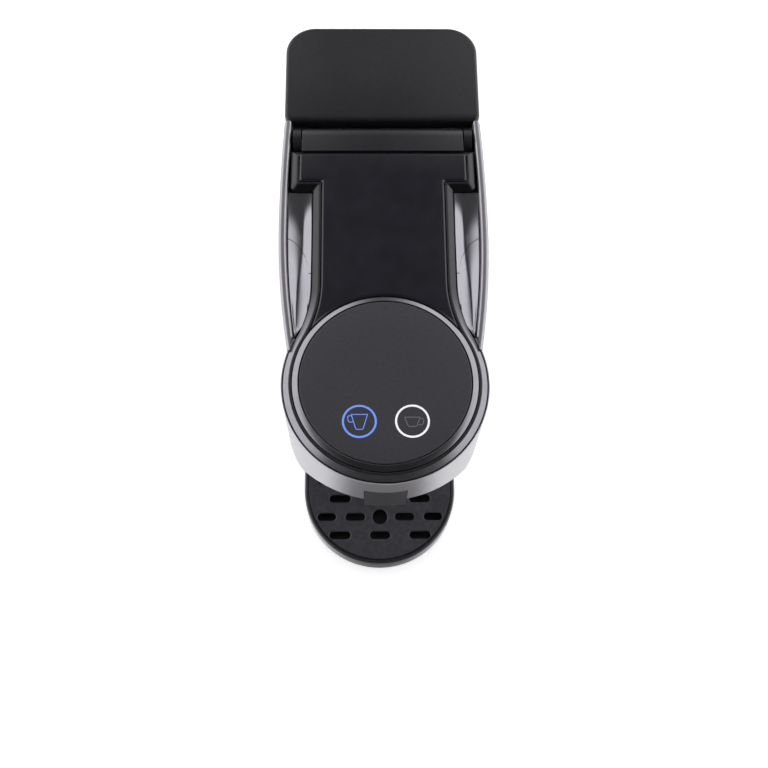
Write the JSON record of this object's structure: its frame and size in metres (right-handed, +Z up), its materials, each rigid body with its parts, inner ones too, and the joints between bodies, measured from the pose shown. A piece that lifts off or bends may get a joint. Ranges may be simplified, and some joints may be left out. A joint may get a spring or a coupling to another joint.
{
  "type": "pod coffee machine",
  "caption": "Slim capsule coffee machine with a round head, keyhole-shaped top lever, touch disc, round drip tray and rear water tank.",
  "frame": {"origin": "on the worktop, under the centre of the whole machine", "axes": "+Z up, -Y the front with the head, +X to the right of someone facing the back from the front"},
  "size_m": [0.108, 0.26, 0.24],
  "materials": {
    "silver_lacquer": "smooth silver-grey metallic lacquer, satin gloss",
    "gloss_black": "high-gloss black moulding",
    "black_plastic": "smooth satin black moulding",
    "charcoal_disc": "fine-textured matte charcoal",
    "grid_satin": "satin dark grey moulding",
    "dark_chrome": "smoked chrome plating",
    "foot_rubber": "dull black rubber",
    "smoke_tank": "clear smoke-tinted moulding",
    "bright_steel": "plain steel",
    "heater_alloy": "cast and machined",
    "board_green": "green circuit board",
    "injector_brass": "machined",
    "hose_silicone": "milky silicone",
    "inner_plastic": "fine-grained dark grey moulding",
    "lamp_blue": "lit light guide, blue",
    "lamp_white": "lit light guide, white"
  },
  "bodies": {
    "housing": {"base_plate": "inner_plastic", "foot_1": "foot_rubber", "foot_2": "foot_rubber", "foot_3": "foot_rubber", "foot_4": "foot_rubber", "base_screw_1": "bright_steel", "base_screw_2": "bright_steel", "base_screw_3": "bright_steel", "base_screw_4": "bright_steel", "column_shell": "black_plastic", "side_skin_left": "silver_lacquer", "side_skin_right": "silver_lacquer", "shoulder_left": "gloss_black", "shoulder_right": "gloss_black", "deck_left": "gloss_black", "deck_right": "gloss_black", "head_shell": "silver_lacquer", "spout": "grid_satin", "coffee_funnel": "inner_plastic", "lever_pin": "bright_steel", "brew_frame": "inner_plastic", "injector": "injector_brass", "pump_foot": "foot_rubber", "pump": "inner_plastic", "pump_collar": "foot_rubber", "heater": "heater_alloy", "flow_meter": "inner_plastic", "control_board": "board_green", "bay_divider": "inner_plastic", "hose_inlet": "hose_silicone", "hose_suction": "hose_silicone", "hose_pressure": "hose_silicone", "hose_hot": "hose_silicone", "tank_dock": "black_plastic", "dock_seal": "foot_rubber", "cord_gland": "foot_rubber"},
    "lever": {"lever_frame": "black_plastic", "lever_inlay": "gloss_black", "disc_bezel": "dark_chrome", "touch_disc": "charcoal_disc", "lamp_ring_large_cup": "lamp_blue", "lamp_ring_small_cup": "lamp_white", "touch_board": "board_green"},
    "brew_cage": {"brew_cage": "inner_plastic"},
    "tray": {"drip_tray": "silver_lacquer", "pod_bin": "black_plastic"},
    "grid": {"drip_grid": "grid_satin"},
    "tank": {"water_tank": "smoke_tank", "tank_valve": "inner_plastic"},
    "lid": {"tank_lid": "black_plastic", "lid_pin": "bright_steel"},
    "plunger": {"valve_plunger": "bright_steel"}
  },
  "joints": [
    {"name": "lever_lift", "type": "hinge", "parent": "housing", "child": "lever", "pos_m": [0, 0.06, 0.231], "axis": [-1, 0, 0], "range_deg": [0, 62]},
    {"name": "cage_slide", "type": "slide", "parent": "housing", "child": "brew_cage", "axis": [0, -1, 0], "range_m": [0, 0.022]},
    {"name": "tray_slide", "type": "slide", "parent": "housing", "child": "tray", "axis": [0, -1, 0], "range_m": [0, 0.09]},
    {"name": "grid_lift", "type": "slide", "parent": "tray", "child": "grid", "axis": [0, 0, 1], "range_m": [0, 0.03]},
    {"name": "tank_lift", "type": "slide", "parent": "housing", "child": "tank", "axis": [0, 0, 1], "range_m": [0, 0.12]},
    {"name": "lid_hinge", "type": "hinge", "parent": "tank", "child": "lid", "pos_m": [0, 0.126, 0.2336], "axis": [-1, 0, 0], "range_deg": [0, 95]},
    {"name": "plunger_slide", "type": "slide", "parent": "tank", "child": "plunger", "axis": [0, 0, 1], "range_m": [0, 0.002], "stiffness_N_per_m": 200, "springref_m": -0.003}
  ],
  "couplings": [
    {"joint": "cage_slide", "follows": "lever_lift", "m_per_rad": 0.0203}
  ]
}
